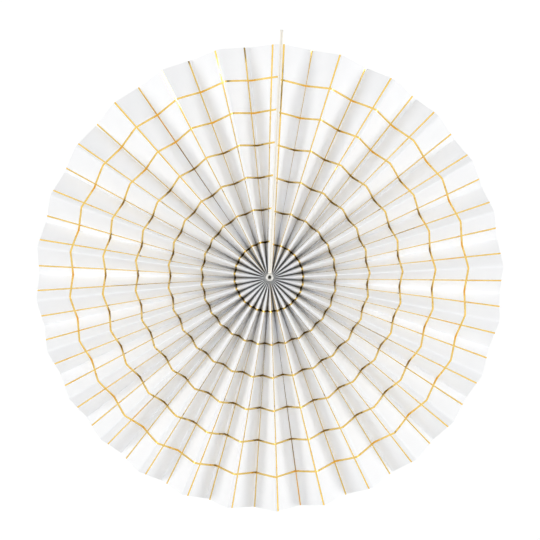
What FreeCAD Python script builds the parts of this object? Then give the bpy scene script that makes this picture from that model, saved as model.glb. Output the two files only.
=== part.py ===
import FreeCAD, Part
import math
import os

from FreeCAD import Vector

# Paper fan rosette: one long sheet of paper, pleated into parallel panels and bent round
# until its two ends meet in a seam. The seam ends are stiffened by two card strips that
# stand past the rim as a hanging tab.
#
# While it is drawn, the rosette stands upright with its axis along Y through the origin.
# Its front looks towards -Y and its seam points up, along +Z. Azimuths run clockwise as
# seen from the front, from the seam. At the end the origin moves to the hanging hole.
# Lengths are in millimetres.

# Rosette
rosette_radius = 160.0
pleat_count = 27
shallowest_rim_depth = 10.3

# Unevenness: the pleats stand wider open beside the seam than opposite it. Each wave gives
# how often it repeats round the circle, how far it shifts a fold and its phase, in degrees.
spacing_waves = [(1, 5.3, -10.0), (2, 0.5, 80.0), (3, 0.5, 25.0)]

# Paper sheet
paper_thickness = 0.2
pressed_pitch_per_thickness = 1.4

# Card strips and the tape between them
card_thickness = 1.0
tape_thickness = 0.15
tape_margin = 1.5
tab_height = 10.3
tab_corner_radius = 3.0
hanging_hole_radius = 2.0
hanging_hole_above_rim = 5.0

# Dried glue that binds the inner ends of the pleats
centre_hole_radius = 1.3
glue_recess = 0.6
glue_clearance = 0.02

# Steps of the twisted panels between the centre and the rim, closer near the centre
panel_steps = 14
step_spread = 1.3

# Derived sizes
panel_count = 2 * pleat_count
last_fold = panel_count
seam_half_width = tape_thickness / 2 + card_thickness + paper_thickness / 2
pressed_pitch = pressed_pitch_per_thickness * paper_thickness
inner_radius = (panel_count * pressed_pitch + 2 * seam_half_width) / (2 * math.pi)


def share_of_turn(fold):
    """How far round the circle a fold lies, from 0 at the seam's right side to 1 at its left."""
    even = fold / panel_count
    shift = 0
    for repeats, swing, phase in spacing_waves:
        start = math.radians(phase)
        shift += swing * (math.sin(2 * math.pi * repeats * even + start) - math.sin(start))
    return even + shift / 360


def fold_azimuth(fold, radius):
    """Angle of a fold from the seam. The seam's thickness takes more of the circle near the centre."""
    seam_angle = math.atan2(seam_half_width, radius)
    return seam_angle + (2 * math.pi - 2 * seam_angle) * share_of_turn(fold)


def widest_rim_chord():
    """Straight distance between the two neighbouring folds that stand furthest apart at the rim."""
    azimuths = [fold_azimuth(fold, rosette_radius) for fold in range(panel_count + 1)]
    widest_pitch = max(azimuths[k + 1] - azimuths[k] for k in range(panel_count))
    return 2 * rosette_radius * math.sin(widest_pitch / 2)


panel_width = math.hypot(widest_rim_chord(), shallowest_rim_depth)


def fold_chord(fold, radius):
    """Mean distance round the circle from a fold to its two neighbours."""
    before = max(fold - 1, 0)
    after = min(fold + 1, last_fold)
    pitch = (fold_azimuth(after, radius) - fold_azimuth(before, radius)) / (after - before)
    return 2 * radius * math.sin(pitch / 2)


def pleat_depth(fold, radius):
    """Front-to-back depth that a panel of constant width spans beside a fold."""
    return math.sqrt(panel_width**2 - fold_chord(fold, radius) ** 2)


def seam_front(height):
    """Y of the cards' straight front edge, which leans back to meet the rim's shallower folds."""
    front_at_centre = -panel_width / 2
    front_at_rim = -pleat_depth(0, rosette_radius) / 2
    climb = (height - inner_radius) / (rosette_radius - inner_radius)
    return front_at_centre + (front_at_rim - front_at_centre) * climb


def fold_position(fold, radius):
    """Middle of the paper at a fold, with the direction round the circle there."""
    if fold in (0, last_fold):
        side = 1 if fold == 0 else -1
        return Vector(side * seam_half_width, seam_front(radius), radius), Vector(1, 0, 0)
    azimuth = fold_azimuth(fold, radius)
    front_or_back = -1 if fold % 2 == 0 else 1
    depth = front_or_back * pleat_depth(fold, radius) / 2
    middle = Vector(radius * math.sin(azimuth), depth, radius * math.cos(azimuth))
    return middle, Vector(math.cos(azimuth), 0, -math.sin(azimuth))


def fold_corners(fold, radius):
    """Front and back pairs of paper corners at a fold: a narrow flat outside, one corner inside."""
    middle, along = fold_position(fold, radius)
    sine = fold_chord(fold, radius) / panel_width
    cosine = math.sqrt(1 - sine**2)
    half = paper_thickness / 2
    outwards = Vector(0, -1 if fold % 2 == 0 else 1, 0)
    flat = along * (half * (1 - sine) / cosine)
    outer = middle + outwards * half
    inner = middle - outwards * (half / sine)
    outer_pair = [outer - flat, outer + flat]
    inner_pair = [inner, inner]
    return (outer_pair, inner_pair) if fold % 2 == 0 else (inner_pair, outer_pair)


def seam_end_corners(fold, radius):
    """Front and back paper corners of the panel glued to a card, from its free edge to its fold."""
    middle, _ = fold_position(fold, radius)
    outwards = Vector(1 if fold == 0 else -1, 0, 0)
    half = paper_thickness / 2
    sine = fold_chord(fold, radius) / panel_width
    cosine = math.sqrt(1 - sine**2)
    card_side = middle - outwards * half
    free_edge = Vector(0, panel_width, 0)
    fold_front = Vector(0, -half, 0)
    inside_corner = Vector(0, half * (1 + cosine) / sine, 0)
    flat_end = middle + outwards * (half * (1 - sine) / cosine) + fold_front
    front = [card_side + free_edge, card_side + fold_front, flat_end]
    pleat_side = middle + outwards * half
    back = [pleat_side + free_edge, pleat_side + inside_corner, pleat_side + inside_corner]
    return front, back


def sheet_section(radius):
    """Front and back corners of the whole sheet at one radius, in step from end to end."""
    front, back = seam_end_corners(0, radius)
    for fold in range(1, last_fold):
        front_pair, back_pair = fold_corners(fold, radius)
        front += front_pair
        back += back_pair
    left_front, left_back = seam_end_corners(last_fold, radius)
    return front + left_front[::-1], back + left_back[::-1]


def triangle(a, b, c):
    """One flat facet, or nothing where two of its corners are the same."""
    if a.isEqual(b, 1e-7) or b.isEqual(c, 1e-7) or c.isEqual(a, 1e-7):
        return []
    return [Part.Face(Part.makePolygon([a, b, c, a]))]


def four_sided(a, b, c, d):
    """A slightly twisted four-sided patch as two facets."""
    return triangle(a, b, c) + triangle(a, c, d)


def strip_between(low, high):
    """Facets between two rows of corners that run in step."""
    faces = []
    for k in range(len(low) - 1):
        faces += four_sided(low[k], low[k + 1], high[k + 1], high[k])
    return faces


def make_pleated_paper():
    """The whole folded sheet as one solid."""
    span = rosette_radius - inner_radius
    radii = [inner_radius + span * (i / panel_steps) ** step_spread for i in range(panel_steps + 1)]
    fronts, backs = zip(*[sheet_section(radius) for radius in radii])
    faces = []
    for i in range(panel_steps):
        faces += strip_between(fronts[i], fronts[i + 1])
        faces += strip_between(backs[i], backs[i + 1])
        for end in (0, -1):
            faces += four_sided(fronts[i][end], backs[i][end], backs[i + 1][end], fronts[i + 1][end])
    faces += strip_between(fronts[0], backs[0])
    faces += strip_between(fronts[-1], backs[-1])
    return Part.Solid(Part.Shell(faces))


def hanging_point():
    """Middle of the hanging hole, where the origin goes."""
    height = rosette_radius + hanging_hole_above_rim
    return Vector(0, seam_front(height) + panel_width / 2, height)


def seam_plate(left_x, thickness, margin):
    """A flat strip in the seam, with the tab's rounded corners and the hanging hole."""
    bottom = inner_radius + margin
    top = rosette_radius + tab_height - margin
    corners = [
        Vector(left_x, seam_front(bottom) + margin, bottom),
        Vector(left_x, seam_front(top) + margin, top),
        Vector(left_x, seam_front(top) + panel_width - margin, top),
        Vector(left_x, seam_front(bottom) + panel_width - margin, bottom),
    ]
    outline = Part.Face(Part.makePolygon(corners + corners[:1]))
    plate = outline.extrude(Vector(thickness, 0, 0))
    is_tab_corner = lambda edge: abs(edge.Length - thickness) < 1e-6 and edge.CenterOfMass.z > rosette_radius
    tab_corners = [edge for edge in plate.Edges if is_tab_corner(edge)]
    plate = plate.makeFillet(tab_corner_radius - margin, tab_corners)
    hole_start = hanging_point() + Vector(left_x, 0, 0)
    hole = Part.makeCylinder(hanging_hole_radius, thickness, hole_start, Vector(1, 0, 0))
    return plate.cut(hole)


def make_card_strip_right():
    return seam_plate(tape_thickness / 2, card_thickness, 0.0)


def make_card_strip_left():
    return seam_plate(-tape_thickness / 2 - card_thickness, card_thickness, 0.0)


def make_seam_tape():
    """Double-sided tape between the two cards, cut a little smaller than they are."""
    return seam_plate(-tape_thickness / 2, tape_thickness, tape_margin)


def make_centre_glue():
    """A collar of dried glue inside the ring of pressed pleat ends, with a small hole through it."""
    length = panel_width - 2 * glue_recess
    start = Vector(0, -length / 2, 0)
    collar = Part.makeCylinder(inner_radius - glue_clearance, length, start, Vector(0, 1, 0))
    hole = Part.makeCylinder(centre_hole_radius, length, start, Vector(0, 1, 0))
    return collar.cut(hole)


pieces = {
    "pleated_paper": make_pleated_paper(),
    "card_strip_right": make_card_strip_right(),
    "card_strip_left": make_card_strip_left(),
    "seam_tape": make_seam_tape(),
    "centre_glue": make_centre_glue(),
}

os.makedirs("parts", exist_ok=True)
for name, shape in pieces.items():
    shape.translate(-hanging_point())
    shape.exportStep(f"parts/{name}.step")
    print(name, "valid", shape.isValid(), "volume", round(shape.Volume, 1), "mm3")
print("panel width", round(panel_width, 3), "inner radius", round(inner_radius, 3))
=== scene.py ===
# %% [markdown]
# This lesson dresses a paper fan rosette: one long sheet of white paper, pleated like a fan and
# bent round until its two ends meet in a seam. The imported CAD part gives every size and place.
# Here the sheet is folded again with finer steps, the gold grid is laid on it, and every piece
# gets its finish, its light and its camera.

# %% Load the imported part
import math

import bmesh
import bpy
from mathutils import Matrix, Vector


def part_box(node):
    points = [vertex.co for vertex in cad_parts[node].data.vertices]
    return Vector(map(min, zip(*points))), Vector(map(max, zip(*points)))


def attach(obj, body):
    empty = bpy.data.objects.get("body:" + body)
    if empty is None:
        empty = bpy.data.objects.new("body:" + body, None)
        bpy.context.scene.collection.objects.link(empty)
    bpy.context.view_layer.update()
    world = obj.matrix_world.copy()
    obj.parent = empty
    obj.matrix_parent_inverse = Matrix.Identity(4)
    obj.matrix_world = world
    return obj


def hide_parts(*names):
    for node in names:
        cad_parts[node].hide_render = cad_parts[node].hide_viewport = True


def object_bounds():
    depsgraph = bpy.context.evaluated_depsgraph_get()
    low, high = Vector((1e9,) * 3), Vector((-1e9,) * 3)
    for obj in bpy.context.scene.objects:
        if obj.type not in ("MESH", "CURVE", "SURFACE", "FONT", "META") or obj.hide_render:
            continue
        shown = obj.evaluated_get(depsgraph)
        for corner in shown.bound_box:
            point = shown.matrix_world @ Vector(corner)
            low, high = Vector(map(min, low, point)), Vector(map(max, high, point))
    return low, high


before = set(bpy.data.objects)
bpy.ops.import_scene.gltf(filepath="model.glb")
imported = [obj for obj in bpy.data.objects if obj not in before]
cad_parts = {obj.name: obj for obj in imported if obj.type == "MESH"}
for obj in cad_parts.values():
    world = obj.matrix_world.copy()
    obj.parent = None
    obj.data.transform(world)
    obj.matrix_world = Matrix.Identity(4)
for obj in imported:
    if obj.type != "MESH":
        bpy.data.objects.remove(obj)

cad_box = [list(corner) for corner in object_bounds()]
print("CAD nodes:", sorted(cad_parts))

# %% [markdown]
# The rosette's centre is the middle of the dried glue collar, which the frame gives. All folding
# below is worked out in millimetres around that centre, because paper sizes read best that way,
# and turned into metres in the part's own frame at the very end.

# %% Centre of the rosette and working units
MM = 0.001
glue_low, glue_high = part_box("centre_glue")
rosette_centre = (glue_low + glue_high) / 2


def in_frame(point):
    """A point in millimetres around the rosette's centre, as metres in the part's frame."""
    return rosette_centre + Vector(point) * MM


print("rosette centre in metres:", [round(value, 5) for value in rosette_centre])

# %% [markdown]
# A real rosette is never even: the pleats stand wider open beside the seam than opposite it. A
# sum of three slow waves moves each fold a little round the circle. This way was chosen because
# the folds keep their order whatever the waves are, and the drawing stays a short formula.

# %% Where each fold lies round the circle
rosette_radius = 160.0
panel_count = 54
last_fold = panel_count
spacing_waves = [(1, 5.3, -10.0), (2, 0.5, 80.0), (3, 0.5, 25.0)]
paper_thickness = 0.2
half_paper = paper_thickness / 2
seam_half_width = 0.15 / 2 + 1.0 + half_paper
pressed_pitch = 1.4 * paper_thickness
inner_radius = (panel_count * pressed_pitch + 2 * seam_half_width) / (2 * math.pi)


def share_of_turn(fold):
    """How far round the circle a fold lies, from 0 right of the seam to 1 left of it."""
    even = fold / panel_count
    shift = 0
    for repeats, swing, phase in spacing_waves:
        start = math.radians(phase)
        shift += swing * (math.sin(2 * math.pi * repeats * even + start) - math.sin(start))
    return even + shift / 360


turn_shares = [share_of_turn(fold) for fold in range(panel_count + 1)]


def fold_azimuth(fold, radius):
    """Angle of a fold from the seam. The seam's own thickness takes more of it near the centre."""
    seam_angle = math.atan2(seam_half_width, radius)
    return seam_angle + (2 * math.pi - 2 * seam_angle) * turn_shares[fold]


print("paper starts", round(inner_radius, 2), "mm from the axis and ends at", rosette_radius)

# %% [markdown]
# Every panel of the sheet has the same width, so where two folds stand further apart the pleat
# must be shallower. That one rule gives the whole shape: deep, pressed pleats in the middle and
# wide, shallow ones at the rim, with panels that twist a little in between.

# %% Width of the panels and depth of the pleats
shallowest_rim_depth = 10.3


def fold_chord(fold, radius):
    """Mean distance round the circle from a fold to its two neighbours."""
    before = max(fold - 1, 0)
    after = min(fold + 1, last_fold)
    pitch = (fold_azimuth(after, radius) - fold_azimuth(before, radius)) / (after - before)
    return 2 * radius * math.sin(pitch / 2)


rim_azimuths = [fold_azimuth(fold, rosette_radius) for fold in range(panel_count + 1)]
widest_pitch = max(rim_azimuths[k + 1] - rim_azimuths[k] for k in range(panel_count))
panel_width = math.hypot(2 * rosette_radius * math.sin(widest_pitch / 2), shallowest_rim_depth)


def pleat_depth(fold, radius):
    """Front-to-back depth that a panel of constant width spans beside a fold."""
    return math.sqrt(panel_width**2 - fold_chord(fold, radius) ** 2)


def seam_front(radius):
    """How far forward the seam's folds stand: they lean back in a straight line to the rim."""
    at_centre = -panel_width / 2
    at_rim = -pleat_depth(0, rosette_radius) / 2
    climb = (radius - inner_radius) / (rosette_radius - inner_radius)
    return at_centre + (at_rim - at_centre) * climb


print("panel width", round(panel_width, 2), "mm")

# %% [markdown]
# Paper has a thickness, so its two faces turn a fold differently: the outer face bends round it
# with a narrow flat, and the inner face meets itself in one corner, deeper the sharper the fold
# is. The helper gives that corner for any height above the middle of the sheet. The same helper
# then folds the paper's two faces and the foil that lies on one of them, so nothing cuts in.

# %% Corners of the sheet at a fold


def fold_corner(fold, radius, lift, side):
    """Corner of a layer at a fold. lift is its height over the sheet's middle, towards the
    printed front, and side is -1 on the panel that ends at the fold, 1 on the one that starts."""
    sine = fold_chord(fold, radius) / panel_width
    cosine = math.sqrt(1 - sine**2)
    if fold in (0, last_fold):
        outwards = 1 if fold == 0 else -1
        middle = Vector((outwards * seam_half_width, seam_front(radius), radius))
        on_flap = side == -outwards
        if lift > 0 and on_flap:
            return middle + Vector((-outwards * min(lift, half_paper), -lift, 0))
        if lift > 0:
            return middle + Vector((outwards * lift * (1 - sine) / cosine, -lift, 0))
        return middle + Vector((-outwards * lift, -lift * (1 + cosine) / sine, 0))
    azimuth = fold_azimuth(fold, radius)
    front_or_back = -1 if fold % 2 == 0 else 1
    depth = front_or_back * pleat_depth(fold, radius) / 2
    middle = Vector((radius * math.sin(azimuth), depth, radius * math.cos(azimuth)))
    along = Vector((math.cos(azimuth), 0, -math.sin(azimuth)))
    outer = -front_or_back * lift
    if outer > 0:
        flat = along * (side * outer * (1 - sine) / cosine)
        return middle + Vector((0, front_or_back * outer, 0)) + flat
    return middle + Vector((0, front_or_back * outer / sine, 0))


print("inner corner at the rim:", [round(v, 2) for v in fold_corner(1, 160.0, half_paper, 1)])

# %% [markdown]
# A panel is the straight line between its two folds, swept from the centre to the rim. Real
# paper springs back from its creases: close to a front fold it swells a little into the groove
# before it, so the ridges are round and bright, and the valleys narrow and dark. Towards the rim
# each panel also bows in its own way. Both are bellies of less than a millimetre, and both end
# at the folds, so that the folds stay where the CAD part has them.

# %% The long bow of a panel
largest_bow = 0.7
bow_starts = 25.0
bow_grows_over = 90.0


def panel_bow(panel, radius, part):
    """Height of a panel's own long belly, which starts outside the crowded middle. Two sines,
    one of the panel and one that also changes outwards, make no two panels alike."""
    reach = min(max((radius - bow_starts) / bow_grows_over, 0), 1)
    own = math.sin(2.4 * panel + 0.7) + 0.5 * math.sin(radius / 38 + 1.9 * panel)
    return largest_bow * reach * own / 1.5 * 4 * part * (1 - part)


print("bow half way across panel 10:", round(panel_bow(10, rosette_radius, 0.5), 2), "mm")

# %% The swelling beside a front fold
swelling = 0.45
more_in_middle = 0.5
middle_ends = 12.0
middle_fades_over = 24.0
pressed_flat_within = 3.0
room_per_radius = 0.06
closeness_to_ridge = 0.45


def ridge_swelling(panel, radius, part):
    """Height of the swelling beside a panel's front fold: more in the middle of the rosette, but
    never more than there is room for between the pleats."""
    from_ridge = part if panel % 2 == 0 else 1 - part
    crowded = min(max(1 - (radius - middle_ends) / middle_fades_over, 0), 1)
    room = room_per_radius * max(radius - pressed_flat_within, 0)
    height = min(swelling + more_in_middle * crowded, room)
    return height * math.sin(math.pi * from_ridge**closeness_to_ridge)


print("swelling at radius 20:", round(ridge_swelling(0, 20.0, 0.2), 2), "mm")

# %% Any point of the folded sheet


def folded_point(panel, share, radius, lift):
    """A point of a layer of the sheet: share runs from 0 to 1 across the panel."""
    if panel < 0:
        corner = fold_corner(0, radius, lift, -1)
        free = Vector((corner.x, seam_front(radius) + panel_width, radius))
        return free.lerp(corner, share)
    if panel >= panel_count:
        corner = fold_corner(last_fold, radius, lift, 1)
        free = Vector((corner.x, seam_front(radius) + panel_width, radius))
        return corner.lerp(free, share)
    start = fold_corner(panel, radius, lift, 1)
    end = fold_corner(panel + 1, radius, lift, -1)
    across = end - start
    reach = panel_width / across.length
    starts_outside = (panel % 2 == 0) == (lift > 0)
    if starts_outside:
        part = min(share * reach, 1)
    else:
        part = max(1 - (1 - share) * reach, 0)
    up_the_panel = Vector((start.x + end.x, 0, start.z + end.z)).normalized()
    facing = across.cross(up_the_panel).normalized()
    if facing.y > 0:
        facing = -facing
    belly = panel_bow(panel, radius, part) + ridge_swelling(panel, radius, part)
    return start + across * part + facing * belly


panel_middle = folded_point(10, 0.5, 100.0, half_paper)
print("a point half way across panel 10:", [round(value, 2) for value in panel_middle])

# %% [markdown]
# The print is a plain square grid of gold foil lines. On the flat sheet its upright lines stand
# a little closer than the folds, so they drift from ridge to valley round the rosette, and its
# level lines turn into the six rings. They climb slightly along the sheet, which shows as a
# small step at the seam. The blank's own columns and rows follow the lines' edges, so the foil
# has crisp edges with no image at all.

# %% Columns of the blank, across the pleats
line_width = 1.3
line_spacing = 0.96
first_line = 0.035
line_count = 57
half_line = line_width / 2 / panel_width
shares_from_ridge = [0.0, 0.015, 0.05, 0.12, 0.25, 0.5, 0.75, 0.98, 1.0]
closest_columns = 0.012


def line_shares(panel):
    """Edges of the gold lines that cross a panel, as shares of its width."""
    edges = []
    for line in range(line_count):
        middle = first_line + line_spacing * line
        for edge in (middle - half_line, middle + half_line):
            if panel < edge < panel + 1:
                edges.append(edge - panel)
    return edges


columns = [(-1, 0.0), (-1, 0.5), (-1, 1.0)]
for panel in range(panel_count):
    edges = line_shares(panel)
    for from_ridge in shares_from_ridge:
        share = from_ridge if panel % 2 == 0 else 1 - from_ridge
        at_fold = share in (0.0, 1.0)
        if at_fold or all(abs(share - edge) > closest_columns for edge in edges):
            edges.append(share)
    columns += [(panel, share) for share in sorted(edges)]
columns += [(panel_count, 0.0), (panel_count, 0.5), (panel_count, 1.0)]
print(len(columns), "columns across the sheet")

# %% Rows of the blank, from the centre to the rim
ring_spacing = 22.55
first_ring = 23.5
ring_count = 6
ring_climb = 2.0
row_step = 5.5
rows = [inner_radius, 3.6, 4.8, 6.4, 8.4, 11.0, 14.0, 18.0]
ring_rows = []
for ring in range(ring_count):
    middle = first_ring + ring * ring_spacing
    ring_rows.append(len(rows))
    rows += [middle - line_width / 2, middle + line_width / 2]
    gap_end = middle + ring_spacing if ring < ring_count - 1 else rosette_radius
    steps = round((gap_end - middle) / row_step)
    rows += [middle + (gap_end - middle) * step / steps for step in range(1, steps)]
rows.append(rosette_radius)


def row_radius(row, panel, share):
    """Radius of a row at a column: the print's climb fades out at the centre and at the rim."""
    along_sheet = min(max((panel + share) / panel_count, 0), 1)
    radius = rows[row]
    last_ring = first_ring + (ring_count - 1) * ring_spacing
    inner_fade = min((radius - inner_radius) / (first_ring - inner_radius), 1)
    outer_fade = min((rosette_radius - radius) / (rosette_radius - last_ring - 2), 1)
    return radius + ring_climb * (along_sheet - 0.5) * min(inner_fade, outer_fade)


print(len(rows), "rows, rings start at rows", ring_rows)

# %% [markdown]
# Now the blank itself. It starts as a flat grid with one vertex for every column and row, gets
# its second face by extruding, and is then folded vertex by vertex. Folding a finished blank was
# chosen because it is what happens to the real sheet, and because every layer that is folded by
# the same rule fits the others.

# %% Make a blank and fold it


def flat_blank(keep_face):
    """A flat, closed blank in steps of one column and one row, of the faces that are kept."""
    mesh = bmesh.new()
    across = len(columns) - 1
    up = len(rows) - 1
    bmesh.ops.create_grid(mesh, x_segments=across, y_segments=up, size=0.5)
    bmesh.ops.scale(mesh, vec=(across, up, 1), verts=mesh.verts)
    bmesh.ops.translate(mesh, vec=(across / 2, up / 2, 0), verts=mesh.verts)
    dropped = []
    for face in mesh.faces:
        middle = face.calc_center_median()
        if not keep_face(int(middle.x), int(middle.y)):
            dropped.append(face)
    bmesh.ops.delete(mesh, geom=dropped, context="FACES")
    whole = mesh.faces[:]
    raised = bmesh.ops.extrude_face_region(mesh, geom=whole)
    back = [item for item in raised["geom"] if isinstance(item, bmesh.types.BMVert)]
    bmesh.ops.translate(mesh, vec=(0, 0, -1), verts=back)
    bmesh.ops.recalc_face_normals(mesh, faces=mesh.faces)
    return mesh


def fold_blank(mesh, front_lift, back_lift):
    """Folds a flat blank. Its upper face goes to front_lift and its lower face to back_lift."""
    sheet_map = mesh.loops.layers.uv.new("sheet")
    for face in mesh.faces:
        for loop in face.loops:
            panel, share = columns[round(loop.vert.co.x)]
            radius = row_radius(round(loop.vert.co.y), panel, share)
            loop[sheet_map].uv = ((panel + share) * panel_width * MM, radius * MM)
    for vert in mesh.verts:
        panel, share = columns[round(vert.co.x)]
        radius = row_radius(round(vert.co.y), panel, share)
        lift = front_lift if vert.co.z > -0.5 else back_lift
        vert.co = in_frame(folded_point(panel, share, radius, lift))
    bmesh.ops.remove_doubles(mesh, verts=mesh.verts, dist=0.002 * MM)
    bmesh.ops.dissolve_degenerate(mesh, edges=mesh.edges, dist=0.002 * MM)


def finished_piece(mesh, name, material, smooth=True):
    """Turns the modelled mesh into an object at the origin that rides on the part."""
    for face in mesh.faces:
        face.smooth = smooth
    data = bpy.data.meshes.new(name)
    mesh.to_mesh(data)
    mesh.free()
    data.materials.append(material)
    piece = bpy.data.objects.new(name, data)
    bpy.context.scene.collection.objects.link(piece)
    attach(piece, "root")
    triangles = sum(len(polygon.vertices) - 2 for polygon in data.polygons)
    print(name, "has", triangles, "triangles")
    return piece


def sharpen(mesh, degrees):
    """Marks edges sharper than the angle, so that smooth shading stops at them."""
    limit = math.radians(degrees)
    for edge in mesh.edges:
        if len(edge.link_faces) == 2 and edge.calc_face_angle() > limit:
            edge.smooth = False


# %% [markdown]
# White paper is easy to get wrong: a single white looks like plastic. Real paper has a faint
# cloudy tone from its fibres and a fine tooth that takes the shine off. The sheet's own map
# follows the flat blank: its first value runs along the sheet and its second is the distance
# from the centre, so the grain runs with the folds. The paper is also darkened towards the
# centre. That is painted shade, not a known mark on the paper: the soft lamps alone leave the
# crowded middle too pale.

# %% Helpers for materials


def new_material(name):
    """An empty node material with its surface shader, and short ways to add and join nodes."""
    material = bpy.data.materials.new(name)
    material.use_nodes = True
    tree = material.node_tree
    print("new material:", name)
    return material, tree, tree.nodes["Principled BSDF"]


def add_node(tree, kind, **values):
    """Adds a node and sets its inputs by name, or its properties where it has no such input."""
    node = tree.nodes.new(kind)
    for key, value in values.items():
        if key in node.inputs:
            node.inputs[key].default_value = value
        else:
            setattr(node, key, value)
    return node


def noise(tree, vector, scale, detail=4.0, stretch=(1, 1, 1)):
    """Noise on a vector, scaled per metre, stretched along its axes."""
    mapping = add_node(tree, "ShaderNodeMapping", Scale=stretch)
    tree.links.new(vector, mapping.inputs["Vector"])
    node = add_node(tree, "ShaderNodeTexNoise", Scale=scale, Detail=detail)
    tree.links.new(mapping.outputs["Vector"], node.inputs["Vector"])
    return node.outputs["Fac"]


def spread(tree, value, low, high, start=0.3, end=0.7):
    """Moves a noise value, mostly between start and end, to the range low to high."""
    node = add_node(tree, "ShaderNodeMapRange")
    for name, number in (("From Min", start), ("From Max", end), ("To Min", low), ("To Max", high)):
        node.inputs[name].default_value = number
    tree.links.new(value, node.inputs["Value"])
    return node.outputs["Result"]


def blend_colours(tree, value, first, second):
    """A colour between two, by a value from 0 to 1."""
    ramp = add_node(tree, "ShaderNodeValToRGB")
    ramp.color_ramp.elements[0].color = (*first, 1)
    ramp.color_ramp.elements[1].color = (*second, 1)
    tree.links.new(value, ramp.inputs["Fac"])
    return ramp.outputs["Color"]


def bump(tree, shader, heights):
    """Chains bumps: each is a height, a depth in millimetres and a strength."""
    normal = None
    for height, depth, strength in heights:
        node = add_node(tree, "ShaderNodeBump", Strength=strength, Distance=depth * MM)
        tree.links.new(height, node.inputs["Height"])
        if normal is not None:
            tree.links.new(normal, node.inputs["Normal"])
        normal = node.outputs["Normal"]
    tree.links.new(normal, shader.inputs["Normal"])


# %% White coated paper
# Painted shade: the paper's colour is darkened within 30 mm of the centre, down to 0.83 of it within
# 8 mm, in place of the shade of the crowded pleats.
painted_centre_shade = 0.83
darkest_within = 8 * MM
plain_from = 30 * MM
paper_material, tree, shader = new_material("white_coated_paper")
sheet_uv = add_node(tree, "ShaderNodeUVMap", uv_map="sheet").outputs["UV"]
clouds = noise(tree, sheet_uv, 90.0, 3.0)
fibres = noise(tree, sheet_uv, 900.0, 5.0, (1, 0.35, 1))
tone = blend_colours(tree, spread(tree, clouds, 0, 1), (0.942, 0.948, 0.959), (0.960, 0.965, 0.974))
up_the_sheet = add_node(tree, "ShaderNodeSeparateXYZ")
tree.links.new(sheet_uv, up_the_sheet.inputs[0])
painted_shade_factor = spread(tree, up_the_sheet.outputs["Y"], painted_centre_shade, 1.0, darkest_within, plain_from)
darkened = add_node(tree, "ShaderNodeVectorMath", operation="SCALE")
tree.links.new(tone, darkened.inputs[0])
tree.links.new(painted_shade_factor, darkened.inputs["Scale"])
tree.links.new(darkened.outputs[0], shader.inputs["Base Color"])
tree.links.new(spread(tree, fibres, 0.48, 0.62), shader.inputs["Roughness"])
shader.inputs["Specular IOR Level"].default_value = 0.35
tooth = noise(tree, sheet_uv, 3500.0, 2.0)
bump(tree, shader, [(fibres, 0.03, 0.25), (tooth, 0.01, 0.2)])

# %% [markdown]
# The paper is one piece: front and back face, its cut edges at the rim and in the middle, and
# the two end panels that are glued to the cards.

# %% The pleated sheet
sheet = flat_blank(lambda column, row: True)
fold_blank(sheet, half_paper, -half_paper)
sharpen(sheet, 50)
pleated_paper = finished_piece(sheet, "pleated_sheet", paper_material)
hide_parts("pleated_paper")

# %% [markdown]
# Hot foil is a film of metal pressed on the paper. It shines like metal: pale gold where it
# looks at the light, brown to black where it looks into a pleat. So it is metal here, not a
# yellow paint, and a very thin raised ribbon, not a picture. A fifth of it stays plain colour,
# as the clear lacquer on real foil does, which keeps it brown in the deepest pleats. It sinks a
# little into the sheet so that no gap shows.

# %% Gold foil
foil_material, tree, shader = new_material("gold_foil")
sheet_uv = add_node(tree, "ShaderNodeUVMap", uv_map="sheet").outputs["UV"]
patches = noise(tree, sheet_uv, 260.0, 3.0)
gold = blend_colours(tree, spread(tree, patches, 0, 1), (0.88, 0.60, 0.15), (0.95, 0.68, 0.20))
tree.links.new(gold, shader.inputs["Base Color"])
shader.inputs["Metallic"].default_value = 0.8
tree.links.new(spread(tree, patches, 0.12, 0.20), shader.inputs["Roughness"])
grain = noise(tree, sheet_uv, 2500.0, 2.0)
bump(tree, shader, [(grain, 0.004, 0.15)])

# %% The printed grid
foil_top = half_paper + 0.025
foil_root = half_paper - 0.01


def is_foil(column, row):
    """True where the face right of a column and above a row is part of a gold line."""
    panel, share = columns[column]
    next_panel, next_share = columns[column + 1]
    if column < 2 or column > len(columns) - 4:
        return False
    if row in ring_rows:
        return True
    middle = (panel + share + next_panel + next_share) / 2
    nearest = round((middle - first_line) / line_spacing)
    return nearest < line_count and abs(middle - first_line - nearest * line_spacing) < half_line


grid = flat_blank(is_foil)
fold_blank(grid, foil_top, foil_root)
sharpen(grid, 50)
gold_lines = finished_piece(grid, "gold_foil_grid", foil_material)

# %% [markdown]
# The two card strips, the tape between them and the glue collar already have their true shape in
# the CAD part, so they stay and only get a finish. The cards are cream grey board: a pressed mash
# of fibres with darker specks, and with fine layers that show on the cut edges.

# %% Cream board
board_material, tree, shader = new_material("cream_board")
place = add_node(tree, "ShaderNodeTexCoord").outputs["Object"]
mash = noise(tree, place, 420.0, 5.0)
specks = noise(tree, place, 1700.0, 2.0)
layers = noise(tree, place, 500.0, 3.0, (9, 1, 1))
cream = blend_colours(tree, spread(tree, mash, 0, 1), (0.96, 0.91, 0.80), (0.99, 0.96, 0.89))
dark = blend_colours(tree, spread(tree, specks, 1, 0, 0.28, 0.36), (1, 1, 1), (0.86, 0.77, 0.64))
mix = add_node(tree, "ShaderNodeMix", data_type="RGBA", blend_type="MULTIPLY")
mix.inputs[0].default_value = 1.0
tree.links.new(cream, mix.inputs[6])
tree.links.new(dark, mix.inputs[7])
tree.links.new(mix.outputs[2], shader.inputs["Base Color"])
tree.links.new(spread(tree, mash, 0.72, 0.9), shader.inputs["Roughness"])
bump(tree, shader, [(layers, 0.05, 0.5), (mash, 0.04, 0.4)])

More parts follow.
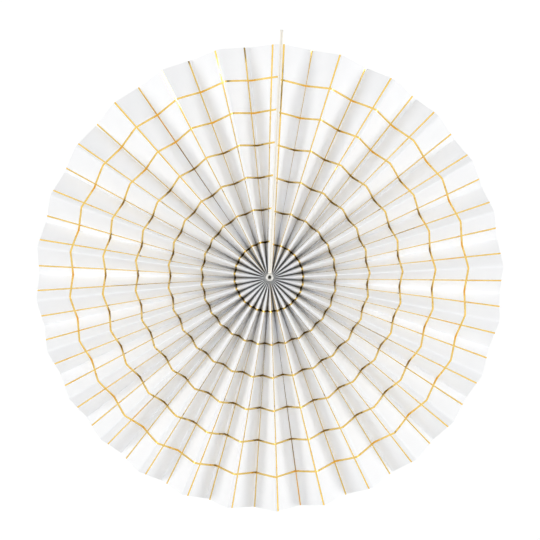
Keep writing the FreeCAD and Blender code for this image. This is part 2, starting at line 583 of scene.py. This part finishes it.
# %% Tissue tape
tape_material, tree, shader = new_material("tissue_tape")
place = add_node(tree, "ShaderNodeTexCoord").outputs["Object"]
tissue = noise(tree, place, 1300.0, 6.0, (1, 1, 0.4))
tone = blend_colours(tree, spread(tree, tissue, 0, 1), (0.62, 0.56, 0.43), (0.76, 0.70, 0.57))
tree.links.new(tone, shader.inputs["Base Color"])
tree.links.new(spread(tree, tissue, 0.3, 0.5), shader.inputs["Roughness"])
bump(tree, shader, [(tissue, 0.03, 0.4)])

# %% Dried glue
glue_material, tree, shader = new_material("dried_white_glue")
place = add_node(tree, "ShaderNodeTexCoord").outputs["Object"]
lumps = noise(tree, place, 700.0, 3.0)
haze = noise(tree, place, 2600.0, 3.0)
tone = blend_colours(tree, spread(tree, haze, 0, 1), (0.80, 0.79, 0.74), (0.88, 0.87, 0.83))
tree.links.new(tone, shader.inputs["Base Color"])
tree.links.new(spread(tree, haze, 0.25, 0.42), shader.inputs["Roughness"])
bump(tree, shader, [(lumps, 0.25, 0.5), (haze, 0.03, 0.3)])

# %% [markdown]
# The glue is the one CAD piece that is too plain to stay: real glue sets with a sunken, uneven
# skin and a narrow pinhole that runs out before the back. A profile spun round the axis gives
# the same collar, and a little unevenness on its front makes it look poured.

# %% The dried glue collar
glue_radius = 2.76
glue_front = (glue_low.y - rosette_centre.y) / MM
glue_back = (glue_high.y - rosette_centre.y) / MM
pinhole_end = glue_back - 4.0
glue_profile = [
    (0, glue_back),
    (glue_radius, glue_back),
    (glue_radius, glue_front + 0.5),
    (2.45, glue_front + 0.12),
    (1.95, glue_front + 0.02),
    (1.45, glue_front + 0.3),
    (1.15, glue_front + 1.2),
    (1.0, glue_front + 6.0),
    (0.8, pinhole_end),
    (0, pinhole_end),
]
collar = bmesh.new()
edge_verts = [collar.verts.new((radius, depth, 0)) for radius, depth in glue_profile]
profile_edges = [collar.edges.new(pair) for pair in zip(edge_verts, edge_verts[1:])]
bmesh.ops.spin(
    collar,
    geom=edge_verts + profile_edges,
    cent=(0, 0, 0),
    axis=(0, 1, 0),
    angle=2 * math.pi,
    steps=48,
    use_merge=True,
)
bmesh.ops.remove_doubles(collar, verts=collar.verts, dist=0.001)
bmesh.ops.recalc_face_normals(collar, faces=collar.faces)
for vert in collar.verts:
    across, depth, up = vert.co
    at_front = depth < glue_front + 2 and math.hypot(across, up) < glue_radius - 0.1
    turn = math.atan2(across, up)
    if at_front:
        squeeze = 1 + 0.06 * math.sin(2 * turn + 0.6) + 0.05 * math.sin(5 * turn)
        sink = 0.12 * (1 + math.sin(3 * turn + 1.1))
        vert.co = (across * squeeze, depth + sink, up * squeeze)
for vert in collar.verts:
    vert.co = in_frame(vert.co)
sharpen(collar, 70)
glue_collar = finished_piece(collar, "glue_collar", glue_material)
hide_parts("centre_glue")

# %% Give the CAD pieces their finish
finishes = {
    "card_strip_right": board_material,
    "card_strip_left": board_material,
    "seam_tape": tape_material,
}
for node, material in finishes.items():
    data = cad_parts[node].data
    data.materials.clear()
    data.materials.append(material)
print("finished CAD pieces:", sorted(finishes))

# %% [markdown]
# The rosette hangs in front of a plain white board. Paper this pale is shown best against pure
# white, so what is seen of the board, straight or in a reflection, has a glow added to it, while
# the light that it sends back to the rosette stays that of matt white. Its back face is clear and
# it casts no shadow, so that the rosette can be lit and looked at from behind as well.

# %% White board behind the rosette
board_gap = 0.12
board_size = 6.0
board_place = cad_box[1][1] + board_gap
board_white = (0.80, 0.80, 0.80, 1)
seen_white = (0.45, 0.45, 0.45, 1)
seen_glow = 0.61


def when_looked_at(tree):
    """1 where a ray shows a surface to the camera, straight, in gloss or through glass, else 0."""
    path = add_node(tree, "ShaderNodeLightPath")
    straight_or_gloss = add_node(tree, "ShaderNodeMath", operation="MAXIMUM")
    tree.links.new(path.outputs["Is Camera Ray"], straight_or_gloss.inputs[0])
    tree.links.new(path.outputs["Is Glossy Ray"], straight_or_gloss.inputs[1])
    or_glass = add_node(tree, "ShaderNodeMath", operation="MAXIMUM")
    tree.links.new(straight_or_gloss.outputs[0], or_glass.inputs[0])
    tree.links.new(path.outputs["Is Transmission Ray"], or_glass.inputs[1])
    return or_glass.outputs[0]


def white_board_material():
    """Matt white that keeps the shadow, lifted to plain white where it is looked at."""
    material = bpy.data.materials.new("white_backdrop")
    material.use_nodes = True
    tree = material.node_tree
    tree.nodes.clear()
    matt = add_node(tree, "ShaderNodeBsdfDiffuse", Color=board_white)
    seen = add_node(tree, "ShaderNodeBsdfDiffuse", Color=seen_white)
    glow = add_node(tree, "ShaderNodeEmission", Color=(1, 1, 1, 1), Strength=seen_glow)
    lifted = add_node(tree, "ShaderNodeAddShader")
    tree.links.new(seen.outputs[0], lifted.inputs[0])
    tree.links.new(glow.outputs[0], lifted.inputs[1])
    by_ray = add_node(tree, "ShaderNodeMixShader")
    tree.links.new(when_looked_at(tree), by_ray.inputs[0])
    tree.links.new(matt.outputs[0], by_ray.inputs[1])
    tree.links.new(lifted.outputs[0], by_ray.inputs[2])
    clear = add_node(tree, "ShaderNodeBsdfTransparent")
    geometry = add_node(tree, "ShaderNodeNewGeometry")
    one_sided = add_node(tree, "ShaderNodeMixShader")
    tree.links.new(geometry.outputs["Backfacing"], one_sided.inputs[0])
    tree.links.new(by_ray.outputs[0], one_sided.inputs[1])
    tree.links.new(clear.outputs[0], one_sided.inputs[2])
    output = add_node(tree, "ShaderNodeOutputMaterial")
    tree.links.new(one_sided.outputs[0], output.inputs["Surface"])
    return material


board_mesh = bmesh.new()
bmesh.ops.create_grid(board_mesh, x_segments=1, y_segments=1, size=board_size / 2)
for vert in board_mesh.verts:
    vert.co = (vert.co.x, board_place, vert.co.y + rosette_centre.z)
board_data = bpy.data.meshes.new("white_backdrop")
board_mesh.to_mesh(board_data)
board_mesh.free()
board_data.materials.append(white_board_material())
backdrop = bpy.data.objects.new("white_backdrop", board_data)
bpy.context.scene.collection.objects.link(backdrop)
backdrop.visible_shadow = False
print("backdrop faces", [round(value, 2) for value in board_data.polygons[0].normal])

# %% [markdown]
# An even white surround lights the paper from all sides and fills the shadows. Foil needs one
# thing more: metal shows only what it reflects, and in an all-white room it would be pale
# everywhere. So reflections also find one darker patch, like a doorway at the upper right, which
# turns a few line ends near the top brown. Paper and camera don't see it.

# %% Surrounding light
surround_strength = 0.50
doorway_place = Vector((0.84, -0.45, 0.35)).normalized()
doorway_brightness = 0.08
doorway_edge = (0.965, 0.985)
world = bpy.data.worlds.new("white_surround")
bpy.context.scene.world = world
world.use_nodes = True
tree = world.node_tree
tree.nodes.clear()
around = add_node(tree, "ShaderNodeBackground", Color=(1, 1, 1, 1), Strength=surround_strength)
seen = add_node(tree, "ShaderNodeBackground", Color=(1, 1, 1, 1), Strength=1.0)
direction = add_node(tree, "ShaderNodeTexCoord").outputs["Generated"]
to_doorway = add_node(tree, "ShaderNodeVectorMath", operation="DOT_PRODUCT")
tree.links.new(direction, to_doorway.inputs[0])
to_doorway.inputs[1].default_value = doorway_place
dark_doorway = spread(tree, to_doorway.outputs["Value"], 1.0, doorway_brightness, *doorway_edge)
path = add_node(tree, "ShaderNodeLightPath")
in_room = add_node(tree, "ShaderNodeMath", operation="MAXIMUM")
tree.links.new(dark_doorway, in_room.inputs[0])
tree.links.new(path.outputs["Is Camera Ray"], in_room.inputs[1])
tree.links.new(in_room.outputs[0], seen.inputs["Strength"])
pick = add_node(tree, "ShaderNodeMixShader")
tree.links.new(when_looked_at(tree), pick.inputs[0])
tree.links.new(around.outputs[0], pick.inputs[1])
tree.links.new(seen.outputs[0], pick.inputs[2])
output = add_node(tree, "ShaderNodeOutputWorld")
tree.links.new(pick.outputs[0], output.inputs["Surface"])
print("doorway towards", [round(value, 2) for value in doorway_place])

# %% [markdown]
# The photo's light is easy to read from the pleats: on the right half the panels that face right
# are bright, on the left half the ones that face left. So two soft lamps stand left and right,
# low over the disc, where each ridge shades the panel behind it. A large one in front brings the
# folds' tops up to white, and one behind is for the back view. Only the side lamps are seen in
# the foil, because the other two would turn the lines on the ridges into bright rays.

# %% Soft lamps
side_distance = 1.2
side_lift = math.radians(23)
side_drop = 0.04
side_size = 0.38
side_power = 4.1
front_place = Vector((0, -1.3, 0))
front_power = 4.8
back_place = Vector((0.9, 0.8, 0.5))
back_power = 3.0
large_size = 0.7


def soft_lamp(name, reach, size, power, in_foil=True):
    """A square softbox at a reach from the rosette's centre, turned to it and out of sight."""
    lamp = bpy.data.lights.new(name, "AREA")
    lamp.shape = "SQUARE"
    lamp.size = size
    lamp.energy = power
    holder = bpy.data.objects.new(name, lamp)
    bpy.context.scene.collection.objects.link(holder)
    holder.location = rosette_centre + reach
    holder.rotation_euler = (-reach).to_track_quat("-Z", "Y").to_euler()
    holder.visible_camera = False
    holder.visible_glossy = in_foil


for name, side in (("softbox_right", 1), ("softbox_left", -1)):
    aside = Vector((side * math.cos(side_lift), -math.sin(side_lift), 0)) * side_distance
    soft_lamp(name, aside - Vector((0, 0, side_drop)), side_size, side_power)
soft_lamp("softbox_front", front_place, large_size, front_power, in_foil=False)
soft_lamp("softbox_back", back_place, large_size, back_power, in_foil=False)
print("side lamps", side_distance, "m away,", round(math.degrees(side_lift)), "degrees over the disc")

# %% [markdown]
# The photo looks straight at the rosette from about arm's length, with the seam leaning a little
# to the right. Rolling the camera gives that lean, so the part itself stays upright in its frame.

# %% Camera
view_distance = 0.85
rim_in_picture = 0.43
seam_lean = math.radians(2.8)
aim_above_centre = 0.005
camera_data = bpy.data.cameras.new("camera")
camera = bpy.data.objects.new("camera", camera_data)
bpy.context.scene.collection.objects.link(camera)
picture_width = rosette_radius * MM / rim_in_picture
camera_data.lens = camera_data.sensor_width * view_distance / picture_width
camera.location = rosette_centre + Vector((0, -view_distance, aim_above_centre))
camera.rotation_euler = (math.pi / 2, -seam_lean, 0)
bpy.context.scene.camera = camera
print("lens", round(camera_data.lens, 1), "mm")

# %% [markdown]
# The picture is shown with the plain Standard view, so a colour looks as it is written. Light
# that falls between two white panels is thrown to and fro many times, so many matt bounces are
# allowed: with few, the valleys turn too dark. One shiny bounce is enough for the foil, and more
# would put orange spots in the valleys.

# %% View and light bounces
scene = bpy.context.scene
scene.view_settings.view_transform = "Standard"
scene.cycles.max_bounces = 16
scene.cycles.diffuse_bounces = 12
scene.cycles.glossy_bounces = 1
print("view", scene.view_settings.view_transform)

# %% [markdown]
# At the end the outer size of the CAD part is printed.

# %% Sizes
print("CAD box", cad_box)
